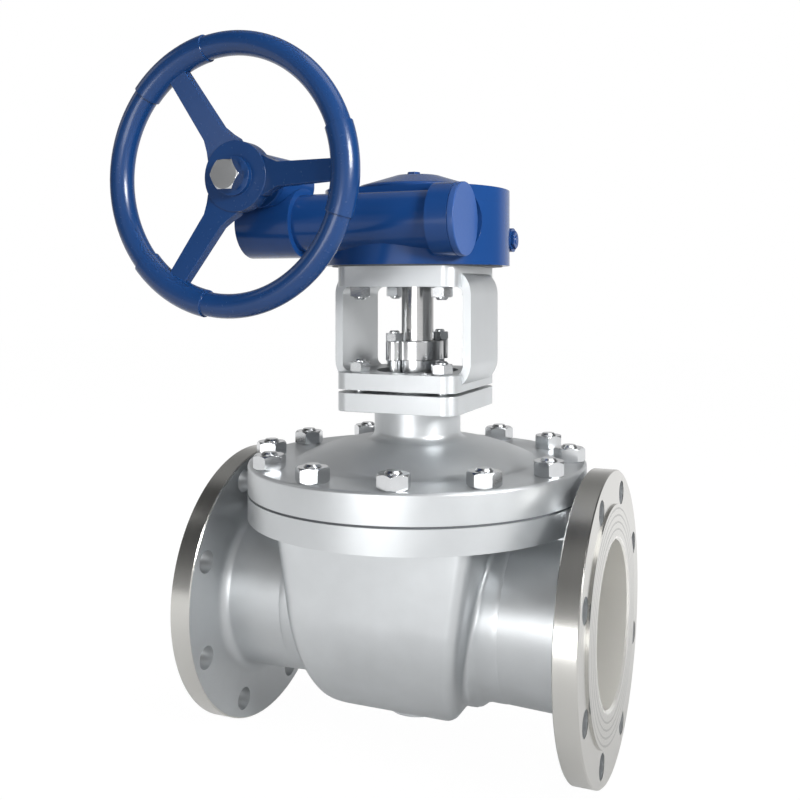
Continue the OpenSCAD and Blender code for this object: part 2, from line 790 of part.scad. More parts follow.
// The worm tube with its thicker ends, each grown by a margin and the right end lengthened
module worm_tube(margin = 0, beyond = 0) {
    on_worm() {
        translate([0, 0, -tube_left_x]) cylinder(r = tube_d / 2 + margin, h = tube_left_x + tube_step_x);
        translate([0, 0, tube_step_x - margin])
            cylinder(r = tube_end_d / 2 + margin, h = tube_right_x - tube_step_x + margin + beyond);
        translate([0, 0, -case_seam_x])
            cylinder(r = tube_end_d / 2 + margin, h = case_seam_x - tube_left_x + margin);
    }
}

module gearbox_housing() {
    drum_r = drum_d / 2;
    room_r = drum_r - drum_wall;
    boss_reach = sqrt(pow(drum_r, 2) - pow(stop_y, 2)) + stop_boss_l;
    color(paint) difference() {
        union() {
            translate([0, 0, gearbox_z]) cylinder(r = drum_r, h = drum_h);
            worm_tube();
            translate([-tube_step_x, -worm_y, worm_z - tube_d / 2])
                cube([2 * tube_step_x, worm_y / 2, drum_top_z - worm_z + tube_d / 2]);
            for (side = [0, 1]) mirror([side, 0, 0]) translate([drum_r - 25, stop_y, stop_z]) along_pipe()
                cylinder(d = stop_boss_d, h = boss_reach - drum_r + 25);
        }
        difference() {
            translate([0, 0, gearbox_z + drum_floor]) cylinder(r = room_r, h = drum_h);
            translate([-drum_r, -drum_d, drum_top_z]) cube([drum_d, drum_r + worm_y / 2, drum_h]);
        }
        translate([0, 0, gearbox_z - 1]) {
            cylinder(d = journal_d + 2 * run_gap, h = drum_floor + 2);
            at_corners(bracket_bolt_x) cylinder(d = bracket_bolt_d, h = upper_stud_in + 1);
        }
        on_worm() {
            translate([0, 0, -case_seam_x - 1])
                cylinder(r = worm_shaft_d / 2 + 2, h = case_seam_x + tube_right_x + 2);
            translate([0, 0, -tube_left_x + 2])
                cylinder(r = worm_tip_r + 1.5, h = tube_left_x + tube_step_x - 4);
            translate([0, 0, tube_step_x - 1])
                cylinder(r = right_bearing_r, h = tube_right_x - tube_step_x + 2);
            translate([0, 0, -tube_left_x - left_bearing_w])
                cylinder(r = left_bearing_r, h = left_bearing_w + 3);
        }
        on_worm() translate([0, 0, tube_right_x]) cylinder(d = tube_end_d + 0.4, h = drum_d);
        on_input() translate([0, 0, turret_tail - 1])
            cylinder(r = turret_r + free_gap, h = turret_front - turret_tail + 2);
        translate([-drum_d, stop_y, stop_z]) along_pipe() cylinder(d = stop_d, h = 2 * drum_d);
        translate([0, 0, drum_top_z - screw_in - 2]) cover_screw_places() cylinder(d = screw_d, h = 2 * screw_in);
    }
}

// Places of the cover screws, round the rear of the cover and clear of the worm tube
module cover_screw_places() {
    for (angle = [-10:50:190]) rotate(angle) translate([(drum_d - drum_wall) / 2, 0, 0]) children();
}

module gearbox_cover() {
    color(paint) difference() {
        translate([0, 0, drum_top_z]) cylinder(d = drum_d, h = cover_t);
        worm_tube(free_gap, drum_d);
        translate([-drum_d, -drum_d - cover_front, drum_top_z - 1]) cube([2 * drum_d, drum_d, cover_t + 2]);
        translate([0, 0, drum_top_z - 1]) {
            cylinder(d = journal_d + 2 * run_gap, h = cover_t + 2);
            cover_screw_places() {
                cylinder(d = screw_d, h = cover_t + 2);
                translate([0, 0, cover_t + 1 - screw_d]) cylinder(d = screw_head_d, h = screw_d + 1);
            }
        }
    }
}

// Socket head screws, sunk in the cover
module cover_screws() {
    color(steel) cover_screw_places() {
        translate([0, 0, drum_top_z - screw_in]) cylinder(d = screw_d, h = cover_t + screw_in - screw_d);
        translate([0, 0, cover_top_z - screw_d]) difference() {
            cylinder(d = screw_head_d, h = screw_d);
            translate([0, 0, screw_d / 2]) hex(screw_d * 0.8, screw_d);
        }
    }
}

module gearbox_cap() {
    color(paint) translate([0, 0, cover_top_z]) rotate_extrude()
        polygon([[0, 0], [cap_d / 2, 0], [cap_d / 2, 3], [cap_d / 2 - 2, 5], [cap_top_d / 2 + 2, cap_h - 1],
            [cap_top_d / 2 - 1, cap_h], [0, cap_h]]);
}

// Breather plug: its width, its height and its distance in front of the stem axis
plug_w = 12;
plug_h = 3;
plug_y = 10;

module breather_plug() {
    color(paint) translate([0, -plug_y, cover_top_z + cap_h]) hex(plug_w, plug_h);
}

module stop_screws() {
    reach = sqrt(pow(drum_d / 2, 2) - pow(stop_y, 2)) + stop_boss_l + stop_nut_t + 1;
    color(paint) for (side = [0, 1]) mirror([side, 0, 0]) translate([stop_tip_x, stop_y, stop_z])
        along_pipe() stud(stop_d, reach - stop_tip_x);
}

module stop_nuts() {
    face = sqrt(pow(drum_d / 2, 2) - pow(stop_y, 2)) + stop_boss_l;
    color(paint) for (side = [0, 1]) mirror([side, 0, 0]) translate([face, stop_y, stop_z])
        along_pipe() nut(stop_nut_w, stop_nut_t, stop_d);
}

// Key between the stem and the sector
key_w = 8;
key_h = 7;
key_l = 32;

// Keyway or key between the stem and the sector
module sector_keyway() {
    translate([stem_d / 2 - key_h / 2, -key_w / 2, worm_z - key_l / 2]) cube([key_h, key_w, key_l]);
}

// Outline of one tooth that points along +X, with straight flanks that lean by slope
module tooth_outline(pitch_r, addendum, dedendum, thick, slope) {
    root = dedendum + 1;
    polygon([[pitch_r - root, -thick / 2 - root * slope], [pitch_r + addendum, -thick / 2 + addendum * slope],
        [pitch_r + addendum, thick / 2 - addendum * slope], [pitch_r - root, thick / 2 + root * slope]]);
}

module sector_gear() {
    lead = atan(gear_module / worm_pitch_d);
    pitch_angle = 360 / sector_teeth_full;
    root_r = sector_pitch_r - 1.25 * gear_module;
    thick = PI * gear_module / 2 - backlash / 2;
    hub_r = 32;
    floor_z = gearbox_z + drum_floor;
    color(steel) difference() {
        union() {
            intersection() {
                translate([0, 0, worm_z]) for (k = [-2:11])
                    rotate(-90 + pitch_angle * (k + 0.5)) rotate([-lead, 0, 0])
                        linear_extrude(sector_t * 1.3, center = true)
                            tooth_outline(sector_pitch_r, gear_module, 1.25 * gear_module, thick, tan(20));
                translate([0, 0, worm_z - sector_t / 2])
                    cylinder(r = sector_pitch_r + gear_module, h = sector_t);
            }
            translate([0, 0, worm_z - sector_t / 2]) linear_extrude(sector_t) intersection() {
                circle(root_r);
                polygon([[0, 0], for (a = [-105:15:15]) 2 * root_r * [cos(a), sin(a)]]);
            }
            translate([0, 0, floor_z + free_gap]) cylinder(r = hub_r, h = drum_h - drum_floor - 2 * free_gap);
            translate([0, 0, gearbox_z + free_gap])
                cylinder(d = journal_d, h = drum_h + cover_t - 2 * free_gap);
            rotate(135) translate([0, -lug_w / 2, floor_z + 2])
                cube([drum_d / 2 - drum_wall - 4, lug_w, 20]);
        }
        translate([0, 0, gearbox_z - 1]) cylinder(d = stem_d, h = drum_h + cover_t + 2);
        sector_keyway();
    }
}

module sector_key() {
    color(steel) sector_keyway();
}

// Right-hand worm thread as a swept trapezoid with its crest at the side of the sector at rest
module worm_thread() {
    turns = 7;
    steps = 24;
    pitch = PI * gear_module;
    pitch_r = worm_pitch_d / 2;
    low = pitch_r - 1.25 * gear_module - 0.6;
    high = pitch_r + gear_module;
    half = (pitch - backlash) / 4;
    root_half = half + (pitch_r - low) * tan(20);
    tip_half = half - gear_module * tan(20);
    profile = [[low, -root_half], [low, root_half], [high, tip_half], [high, -tip_half]];
    count = turns * steps;
    points = [for (i = [0:count], p = profile) let (a = 360 * (i - count / 2) / steps)
        [pitch * a / 360 + p[1], p[0] * cos(a), p[0] * sin(a)]];
    sides = [for (i = [0:count - 1], j = [0:3]) let (a = 4 * i + j, b = 4 * i + (j + 1) % 4)
        [a, a + 4, b + 4, b]];
    polyhedron(points, concat([[0, 1, 2, 3]], sides,
        [[4 * count + 3, 4 * count + 2, 4 * count + 1, 4 * count]]));
}

// End of the worm shaft and the two collars that hold it between its bearings
shaft_end_x = case_end_x - 7;
collar_r = 15;
collar_l = 9;

module worm_shaft() {
    color(steel) difference() {
        union() {
            translate([0, -worm_y, worm_z]) worm_thread();
            on_worm() {
                translate([0, 0, -shaft_end_x]) cylinder(r = worm_root_r, h = shaft_end_x + tube_right_x - 8);
                translate([0, 0, tube_step_x - collar_l - 3]) cylinder(r = collar_r, h = collar_l);
                translate([0, 0, -tube_left_x + 4]) cylinder(r = collar_r, h = collar_l + 1);
            }
        }
        worm_gear_keyway();
    }
}

// Keyway or key under the input gear on the worm shaft
module worm_gear_keyway() {
    translate([-input_left - gear_key_l / 2, -worm_y - gear_key_w / 2, worm_z + worm_root_r - gear_key_w / 2])
        cube([gear_key_l, gear_key_w, gear_key_w]);
}

module worm_bearings() {
    color(steel) on_worm() {
        translate([0, 0, tube_step_x]) ring(right_bearing_r, worm_root_r + run_gap, right_bearing_w);
        translate([0, 0, -tube_left_x - left_bearing_w]) ring(left_bearing_r, worm_root_r + run_gap, left_bearing_w);
    }
}

module worm_end_cap() {
    color(paint) on_worm() {
        translate([0, 0, tube_right_x]) cylinder(d = tube_end_d, h = end_cap_t);
        translate([0, 0, tube_step_x + right_bearing_w])
            ring(right_bearing_r - 0.2, right_bearing_r - 6, tube_right_x - tube_step_x - right_bearing_w + 1);
    }
}

// Bushes of the input gear case, and the square keys under its gears
case_bush_r = 17;
case_bush_l = 14;
input_bush_r = input_shaft_d / 2 + 6;
gear_key_w = 4;
gear_key_l = 10;

module input_gear_case() {
    color(paint) difference() {
        union() {
            on_worm() translate([0, 0, -case_end_x]) cylinder(d = tube_end_d, h = case_end_x - case_seam_x);
            on_input() {
                translate([0, 0, turret_back]) cylinder(r = turret_r, h = turret_front - turret_back);
                translate([0, 0, turret_tail]) cylinder(r = turret_tail_r, h = turret_back - turret_tail + 1);
            }
        }
        on_worm() {
            translate([0, 0, -input_left - input_gear_w / 2 - 3])
                cylinder(r = gear_room_r, h = input_left - case_seam_x + input_gear_w / 2 + 4);
            translate([0, 0, -shaft_end_x - 1]) cylinder(r = case_bush_r, h = shaft_end_x - input_left);
        }
        on_input() {
            translate([0, 0, worm_y - input_gear_w / 2 - 3])
                cylinder(r = gear_room_r, h = input_gear_w + 6);
            translate([0, 0, turret_tail + 3])
                cylinder(r = input_bush_r, h = turret_front - turret_tail);
        }
    }
}

module case_bush() {
    color(brass) on_worm() translate([0, 0, -shaft_end_x - 1]) ring(case_bush_r, worm_root_r + run_gap, case_bush_l);
}

// Gear with helical teeth at 45 degrees to its axis, drawn about +Z.
// One tooth points along the angle turn at half its width.
module cross_gear(turn, shaft_r) {
    pitch_r = input_rise / 2;
    twist = input_gear_w / pitch_r * 180 / PI;
    thick = PI * pitch_r / input_teeth - cross_backlash;
    difference() {
        rotate(turn - twist / 2) translate([0, 0, -input_gear_w / 2])
            linear_extrude(input_gear_w, twist = -twist, slices = 8) {
                circle(pitch_r - cross_dedendum, $fn = 60);
                for (i = [0:input_teeth - 1]) rotate(i * 360 / input_teeth)
                    tooth_outline(pitch_r, cross_addendum, cross_dedendum, thick, tan(20) / cos(45));
            }
        cylinder(r = shaft_r, h = 2 * input_gear_w, center = true);
    }
}

module worm_input_gear() {
    color(steel) difference() {
        on_worm() translate([0, 0, -input_left]) cross_gear(180, worm_root_r);
        worm_gear_keyway();
    }
}

module input_gear() {
    color(steel) difference() {
        on_input() translate([0, 0, worm_y]) cross_gear(270 + 180 / input_teeth, input_shaft_d / 2);
        input_keyway();
    }
}

// Keyway or key under the input gear on the input shaft
module input_keyway() {
    on_input() translate([-gear_key_w / 2, (input_shaft_d - gear_key_w) / 2, worm_y - gear_key_l / 2])
        cube([gear_key_w, gear_key_w, gear_key_l]);
}

module worm_gear_key() {
    color(steel) worm_gear_keyway();
}

module input_gear_key() {
    color(steel) input_keyway();
}

// Seat of the handwheel on the input shaft, its thread and its square key
wheel_shaft_d = 18;
thread_d = 16;
wheel_key_w = 5;
hub_out = wheel_out - wheel_dish;
boss_front = 5;
seat_to = hub_out + hub_plate_t / 2 + boss_front;
seat_from = seat_to - boss_l;
thread_l = wheel_washer_t + wheel_nut_h - 3;

module input_shaft() {
    color(steel) difference() {
        on_input() {
            translate([0, 0, turret_tail + 3 + free_gap])
                cylinder(d = input_shaft_d, h = seat_from - turret_tail - 3 - free_gap);
            translate([0, 0, seat_from - 1]) cylinder(d = wheel_shaft_d, h = boss_l);
            translate([0, 0, seat_from]) stud(thread_d, boss_l + thread_l);
        }
        input_keyway();
        wheel_keyway();
    }
}

module input_bushes() {
    inner = input_shaft_d / 2 + run_gap;
    color(brass) on_input() {
        translate([0, 0, turret_tail + 3]) ring(input_bush_r, inner, worm_y - input_gear_w / 2 - 3 - turret_tail - 3);
        translate([0, 0, worm_y + input_gear_w / 2 + 3])
            ring(input_bush_r, inner, turret_front - worm_y - input_gear_w / 2 - 3);
    }
}

module input_seal_plate() {
    color(paint) on_input() translate([0, 0, turret_front]) ring(turret_r, input_shaft_d / 2 + free_gap, 5);
}

// Keyway or key between the input shaft and the handwheel
module wheel_keyway() {
    on_input() translate([-wheel_key_w / 2, (wheel_shaft_d - wheel_key_w) / 2, seat_from + 2])
        cube([wheel_key_w, wheel_key_w, boss_l - 4]);
}

module wheel_key() {
    color(steel) wheel_keyway();
}

// Spoke that leans forward from the hub plate to the rim and narrows on the way
module spoke() {
    start = hub_plate_d / 2 - 6;
    reach = wheel_d / 2 - rim_d / 2 - start;
    translate([start, 0, -wheel_dish]) rotate([0, -asin(wheel_dish / reach), 0])
        translate([0, 0, -spoke_t / 2]) linear_extrude(spoke_t)
            polygon([[-8, -spoke_wide / 2], [3, -spoke_wide / 2], [10, -spoke_wide * 0.4],
                [20, -spoke_narrow * 0.6], [reach, -spoke_narrow / 2], [reach, spoke_narrow / 2],
                [20, spoke_narrow * 0.6], [10, spoke_wide * 0.4], [3, spoke_wide / 2], [-8, spoke_wide / 2]]);
}

module handwheel() {
    rim_r = wheel_d / 2 - rim_d / 2;
    color(paint) difference() {
        on_input() translate([0, 0, wheel_out]) {
            rotate_extrude() translate([rim_r, 0]) circle(d = rim_d, $fn = 48);
            for (a = [0:120:240]) rotate(a) {
                rotate(-grip_angle / 2) rotate_extrude(angle = grip_angle)
                    translate([rim_r, 0]) circle(d = grip_d, $fn = 48);
                spoke();
            }
            translate([0, 0, -wheel_dish]) cylinder(d = hub_plate_d, h = hub_plate_t, center = true);
            translate([0, 0, seat_from - wheel_out]) cylinder(d = boss_d, h = boss_l);
        }
        on_input() translate([0, 0, seat_from - 1]) cylinder(d = wheel_shaft_d, h = boss_l + 2);
        wheel_keyway();
    }
}

module handwheel_washer() {
    color(bright) on_input() translate([0, 0, seat_to]) ring(wheel_nut_w / 2, thread_d / 2, wheel_washer_t);
}

// Closed nut that covers the end of the input shaft
module handwheel_nut() {
    color(bright) on_input() translate([0, 0, seat_to + wheel_washer_t])
        nut(wheel_nut_w, wheel_nut_h, thread_d, 2.5);
}

valve_body();
bonnet_gasket();
bonnet();
bonnet_studs();
bonnet_nuts();
ball();
lower_bush();
upper_bush();
seat_ring_left();
seat_ring_right();
seat_springs();
seat_o_rings();
stem();
stem_washer();
packing_rings();
gland_bush();
gland_flange();
gland_studs();
gland_nuts();
bracket();
bracket_lower_studs();
bracket_lower_nuts();
bracket_upper_studs();
bracket_upper_nuts();
base_gasket();
gearbox_housing();
gearbox_cover();
cover_screws();
gearbox_cap();
breather_plug();
stop_screws();
stop_nuts();
sector_gear();
sector_key();
worm_shaft();
worm_bearings();
worm_end_cap();
input_gear_case();
case_bush();
worm_input_gear();
input_gear();
input_shaft();
input_bushes();
input_seal_plate();
worm_gear_key();
input_gear_key();
wheel_key();
handwheel();
handwheel_washer();
handwheel_nut();
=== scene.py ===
"""Ball valve with its worm gearbox and handwheel, finished for a studio picture.

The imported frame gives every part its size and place. This file gives them their finish, rounds
their edges and adds the skin of the cast body. All lengths are in metres."""

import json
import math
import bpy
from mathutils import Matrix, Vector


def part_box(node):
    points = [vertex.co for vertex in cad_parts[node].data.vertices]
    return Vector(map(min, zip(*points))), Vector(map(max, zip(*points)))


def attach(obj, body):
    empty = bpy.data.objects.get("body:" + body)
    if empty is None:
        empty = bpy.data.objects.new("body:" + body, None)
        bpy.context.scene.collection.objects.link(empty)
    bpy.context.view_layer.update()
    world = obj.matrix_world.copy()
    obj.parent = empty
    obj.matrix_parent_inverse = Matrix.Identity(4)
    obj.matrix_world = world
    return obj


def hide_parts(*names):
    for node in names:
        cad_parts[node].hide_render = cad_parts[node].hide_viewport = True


bl_info = {
    "name": "Ball Valve Finish",
    "version": (1, 0, 0),
    "blender": (4, 5, 0),
    "location": "View3D > Sidebar > Ball Valve",
    "description": "Finishes, rounded edges and studio for a flanged ball valve",
    "category": "Object",
}

import bmesh
import bpy
import numpy as np
from mathutils import Vector

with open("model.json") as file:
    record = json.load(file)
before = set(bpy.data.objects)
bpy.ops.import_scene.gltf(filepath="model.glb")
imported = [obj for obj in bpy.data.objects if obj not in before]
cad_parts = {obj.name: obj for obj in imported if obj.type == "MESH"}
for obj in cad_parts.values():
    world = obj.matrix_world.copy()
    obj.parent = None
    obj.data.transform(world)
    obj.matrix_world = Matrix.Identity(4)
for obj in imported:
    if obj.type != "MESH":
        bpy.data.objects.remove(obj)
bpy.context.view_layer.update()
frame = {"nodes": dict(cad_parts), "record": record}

# Turned parts of the body: the bore, the raised face, the flange's thickness, how deep the finish of
# the face, the rim and the bore reaches and how far that of the rim runs past the flange's back, and
# the grooves of the raised face: their pitch, the height of a wave past which they are cut, their band

BORE_R = 0.075
RAISED_R = 0.108
FLANGE_DEPTH = 0.0234
FACE_DEPTH = 0.0027
RIM_DEPTH = 0.0012
BORE_DEPTH = 0.003
RIM_PAST_BACK = 0.001
GROOVE_PITCH = 0.0064
GROOVE_CREST = 0.72
GROOVES_FROM = BORE_R + 0.008
GROOVES_TO = RAISED_R - 0.002

# The bucket: its round bottom with the height of its axis, its flat underside, the top of the skin,
# half its width at the pipe axis and how that grows with height, its edge, where that turns under to
# the flat underside, the sine of the angle of the bottom there and how short of level the edge stops,
# and where its sides round in

BUCKET_R = 0.117
BUCKET_AXIS_Z = 0.012
BUCKET_FLOOR = 0.098
BUCKET_ROOF = 0.090
BUCKET_HALF = 0.0835
BUCKET_LEAN = 0.155
BUCKET_EDGE = 0.012
BUCKET_FOOT_Z = BUCKET_EDGE - BUCKET_FLOOR
BUCKET_FOOT_SINE = 0.933
BUCKET_EDGE_STOP = 0.0001
SIDE_ROUND_Z = -0.078
SIDE_ROUND_R = 0.02

# The necks: the seat housing and where it ends, the slim neck, where it starts and how it widens

SEAT_HOUSING_R = 0.0903
SEAT_HOUSING_X = 0.0745
NECK_R = 0.0831
NECK_X = 0.088
NECK_TAPER = 0.033

# The skin: where it ends on the necks and how far it dips into them there, about where it turns up
# on to the bucket, how sharply it bends at its end and at that root, and its thickness

SKIN_END_X = 0.114
SKIN_END_DIP = 0.0025
SKIN_ROOT_R = 0.09
SKIN_END_BEND = 8
SKIN_ROOT_BEND = 6
SKIN_DEPTH = 0.0022

# The skin's side, from the neck to the bucket's outside: the least height it is given, the share of
# it that the fillet may take, the least height left for the edge and the share of that it may take

SIDE_LEAST = 0.0005
FILLET_SHARE = 0.6
EDGE_LEAST = 0.0002
EDGE_SHARE = 0.95

# Points of the skin's section: along the neck, up the fillet and the side, round the edge and over

NECK_POINTS = 10
FILLET_POINTS = 10
SIDE_POINTS = 8
EDGE_POINTS = 9
OVER_POINTS = 10

# Rounded edges: how near two points of a mesh are one, the turn that still counts as flat, the turn
# from which an edge is sharp, and the radii

ONE_POINT = 0.000002
FLAT_TURN = math.radians(0.2)
SHARP_TURN = math.radians(38)
CASTING_EDGE = 0.0012
BRACKET_EDGE = 0.0016
END_CAP_EDGE = 0.001
SMALL_EDGE = 0.0006
NUT_EDGE = 0.0005
WHEEL_EDGE = 0.002

# Studio: the camera, with its shift in pixels, the lamps with their place, aim, sides and spread in
# degrees, the floor's glow and the painted shadow that dims it to mirrored rays near the valve, and
# the room's brightness from the rear to the camera's side and upward

PICTURE_SIDE = 800
CAMERA_PLACE = (0.36604, -0.87535, 0.30941)
CAMERA_SHIFT = (-26.94, -111.62)
LAMPS = (
    ("front", (-0.05, -1.95, 0.1), (0, 0, 0.05), (1.1, 0.46), 180),
    ("left", (-1.9, -0.6, 1.3), (0, 0, 0.2), (0.9, 0.9), 180),
    ("right", (1.7, -0.7, 0.9), (0, 0, 0.45), (0.8, 0.5), 40),
    ("top", (0.7, 0.2, 1.9), (0, 0, 0.2), (1.2, 1.2), 180),
)
FLOOR_HALF = 6.0
FLOOR_GAP = 0.0005
FLOOR_GLOW = 1.03
FLOOR_SHARE = 0.95
# Painted shadow: the floor's glow to mirrored rays by distance from the valve, dim near it, full further
# out
FLOOR_PAINTED_SHADOW = ((0.15, 0.15), (0.6, 0.8), (1, 1.0))
ROOM_AROUND = ((0, 0.8), (0.16, 0.7), (0.3, 0.14), (0.7, 0.12), (0.88, 0.65), (1, 0.95))
ROOM_UPWARD = ((0, 0.6), (0.44, 1.0), (0.55, 1.0), (0.67, 0.5), (0.83, 0.3), (1, 0.5))

# Least divisor, where a sine or cosine runs through 0

LEAST_DIVISOR = 1e-6


def linear(red, green, blue):
    """A colour read off a picture, 0 to 255 a channel, as the linear colour that shaders use."""
    parts = np.array([red, green, blue]) / 255
    low = parts / 12.92
    high = ((parts + 0.055) / 1.055) ** 2.4
    return tuple(float(v) for v in np.where(parts <= 0.04045, low, high))


# Sizes and colours that a user may change


class CastingSettings(bpy.types.PropertyGroup):
    colour: bpy.props.FloatVectorProperty(
        name="Casting", description="Colour of the blasted castings", subtype="COLOR",
        default=linear(203, 206, 208), min=0, max=1)
    machined: bpy.props.FloatVectorProperty(
        name="Machined", description="Colour of the turned faces and rims", subtype="COLOR",
        default=linear(205, 204, 200), min=0, max=1)
    roughness: bpy.props.FloatProperty(
        name="Roughness", description="Roughness of the blasted castings", default=0.38, min=0, max=1)
    skin: bpy.props.FloatProperty(
        name="Skin", description="How far the skin stands proud of the bucket", unit="LENGTH",
        default=0.0006, min=0.0002, max=0.002)
    neck_blend: bpy.props.FloatProperty(
        name="Neck blend", description="Radius where a neck leaves the bucket", unit="LENGTH",
        default=0.005, min=0.002, max=0.02)


class PaintSettings(bpy.types.PropertyGroup):
    gearbox: bpy.props.FloatVectorProperty(
        name="Gearbox", description="Blue of the gearbox", subtype="COLOR",
        default=linear(20, 57, 110), min=0, max=1)
    # The end cap's blue is lighter than the gearbox's: painted light, for the lamp on the right that falls
    # on it
    end_cap: bpy.props.FloatVectorProperty(
        name="End cap", description="Blue of the flat end cap", subtype="COLOR",
        default=linear(44, 76, 132), min=0, max=1)
    wheel: bpy.props.FloatVectorProperty(
        name="Handwheel", description="Blue of the handwheel", subtype="COLOR",
        default=linear(15, 52, 100), min=0, max=1)


class StudioSettings(bpy.types.PropertyGroup):
    lens: bpy.props.FloatProperty(
        name="Lens", description="Focal length of the camera", unit="CAMERA", default=42.58, min=20, max=90)
    yaw: bpy.props.FloatProperty(
        name="Yaw", description="Turn of the camera about the upright", subtype="ANGLE",
        default=math.radians(22.123))
    front: bpy.props.FloatProperty(
        name="Front", description="Power of the lamp low in front", unit="POWER", default=9.5)
    left: bpy.props.FloatProperty(
        name="Left", description="Power of the lamp high on the left", unit="POWER", default=2.6)
    right: bpy.props.FloatProperty(
        name="Right", description="Power of the lamp aimed at the gearbox", unit="POWER", default=3.8)
    top: bpy.props.FloatProperty(
        name="Top", description="Power of the lamp overhead", unit="POWER", default=9.5)
    world: bpy.props.FloatProperty(
        name="World", description="Strength of the light from all round", default=0.46, min=0, max=2)


# Shader maths


class Value:
    """A number that varies over a surface. Arithmetic on it adds Math nodes to its net."""

    def __init__(self, net, socket):
        self.net = net
        self.socket = socket

    def _math(self, operation, first, second=None):
        node = self.net.tree.nodes.new("ShaderNodeMath")
        node.operation = operation
        for place, part in enumerate((first, second)):
            if isinstance(part, Value):
                self.net.tree.links.new(part.socket, node.inputs[place])
            elif part is not None:
                node.inputs[place].default_value = part
        return Value(self.net, node.outputs[0])

    def __add__(self, other):
        return self._math("ADD", self, other)

    __radd__ = __add__

    def __mul__(self, other):
        return self._math("MULTIPLY", self, other)

    __rmul__ = __mul__

    def __sub__(self, other):
        return self._math("SUBTRACT", self, other)

    def __rsub__(self, other):
        return self._math("SUBTRACT", other, self)

    def __truediv__(self, other):
        return self._math("DIVIDE", self, other)

    def __rtruediv__(self, other):
        return self._math("DIVIDE", other, self)

    def __gt__(self, other):
        return self._math("GREATER_THAN", self, other)

    def __lt__(self, other):
        return self._math("LESS_THAN", self, other)

    def __abs__(self):
        return self._math("ABSOLUTE", self)

    def root(self):
        return self._math("SQRT", self)

    def sine(self):
        return self._math("SINE", self)

    def larger(self, other):
        return self._math("MAXIMUM", self, other)


class Net:
    """A node tree under construction."""

    def __init__(self, tree):
        self.tree = tree

    def node(self, kind, settings=(), **inputs):
        """Any node: its settings first, then the values or links of its sockets."""
        node = self.tree.nodes.new(kind)
        for key, value in dict(settings).items():
            setattr(node, key, value)
        for key, value in inputs.items():
            self.fill(node.inputs[key.replace("_", " ")], value)
        return node

    def fill(self, slot, value):
        """Puts a number, a colour, a Value or a socket on an input."""
        if isinstance(value, Value):
            self.tree.links.new(value.socket, slot)
        elif isinstance(value, bpy.types.NodeSocket):
            self.tree.links.new(value, slot)
        elif slot.type == "RGBA" and len(value) == 3:
            slot.default_value = (*value, 1)
        else:
            slot.default_value = value

    def axes(self, place):
        """The three coordinates of a place as values."""
        split = self.node("ShaderNodeSeparateXYZ", Vector=place)
        return [Value(self, split.outputs[i]) for i in range(3)]

    def steps(self, value, stops):
        """A grey level that runs through stops, pairs of a value between 0 and 1 and its level."""
        ramp = self.node("ShaderNodeValToRGB", Fac=value)
        marks = ramp.color_ramp.elements
        for position, _ in stops[1:-1]:
            marks.new(position)
        for mark, (position, level) in zip(marks, stops):
            mark.position = position
            mark.color = (level, level, level, 1)
        return Value(self, ramp.outputs["Color"])

    def mix_shaders(self, amount, first, second):
        """The socket of a mix of two shaders' sockets."""
        node = self.node("ShaderNodeMixShader", Fac=amount)
        self.tree.links.new(first, node.inputs[1])
        self.tree.links.new(second, node.inputs[2])
        return node.outputs[0]


class Finish(Net):
    """A material under construction: a Principled shader and the nodes that feed it."""

    def __init__(self, name, **uniform):
        self.material = bpy.data.materials.new(name)
        self.material.use_nodes = True
        super().__init__(self.material.node_tree)
        self.shader = self.tree.nodes["Principled BSDF"]
        for socket, value in uniform.items():
            self.set(socket, value)
        self.place = self.node("ShaderNodeTexCoord").outputs["Object"]

    def set(self, socket, value):
        """Puts a number, a colour, a Value or a socket on the shader."""
        self.fill(self.shader.inputs[socket.replace("_", " ")], value)

    def noise(self, scale, detail, stretch=(1, 1, 1), at=None):
        """Noise with features about 1 / scale metres wide, stretched along the axes."""
        turned = self.node("ShaderNodeMapping", Vector=at or self.place, Scale=stretch)
        node = self.node("ShaderNodeTexNoise", Vector=turned.outputs[0], Scale=scale, Detail=detail)
        return Value(self, node.outputs["Fac"])

    def blend(self, amount, low, high):
        """A colour between two colours or colour sockets."""
        node = self.node("ShaderNodeMix", {"data_type": "RGBA"})
        self.fill(node.inputs[0], amount)
        for slot, part in ((node.inputs[6], low), (node.inputs[7], high)):
            self.fill(slot, part)
        return node.outputs[2]

    def tint(self, amount, colour, low, high):
        """A colour that runs from low to high times its own brightness."""
        return self.blend(amount, shade(colour, low), shade(colour, high))

    def bump(self, height, distance, strength):
        """Raises the surface by height times distance."""
        node = self.node("ShaderNodeBump", Height=height, Distance=distance, Strength=strength)
        self.set("Normal", node.outputs["Normal"])


def shade(colour, factor):
    """The same colour, lighter or darker by a factor."""
    return tuple(min(1.0, part * factor) for part in colour)


# Finishes


def casting_layers(finish, colour):
    """What blasted castings share: a softly mottled colour, a cloudy noise and a fine grain."""
    mottle = finish.noise(16, detail=4)
    cloud = finish.noise(60, detail=3)
    grain = finish.noise(900, detail=2)
    return finish.tint(mottle * 0.7 + cloud * 0.3, colour, 0.86, 1.1), cloud, grain


def casting_finish(look, name, tone=1.0):
    """Blasted stainless casting: soft mottling, a fine blasted grain and a satin sheen."""
    finish = Finish(name, Metallic=0.8)
    colour, cloud, grain = casting_layers(finish, shade(look.colour, tone))
    finish.set("Base Color", colour)
    finish.set("Roughness", cloud * 0.12 + (look.roughness - 0.06))
    finish.bump(grain * 0.6 + cloud * 0.4, distance=0.00012, strength=0.5)
    return finish.material


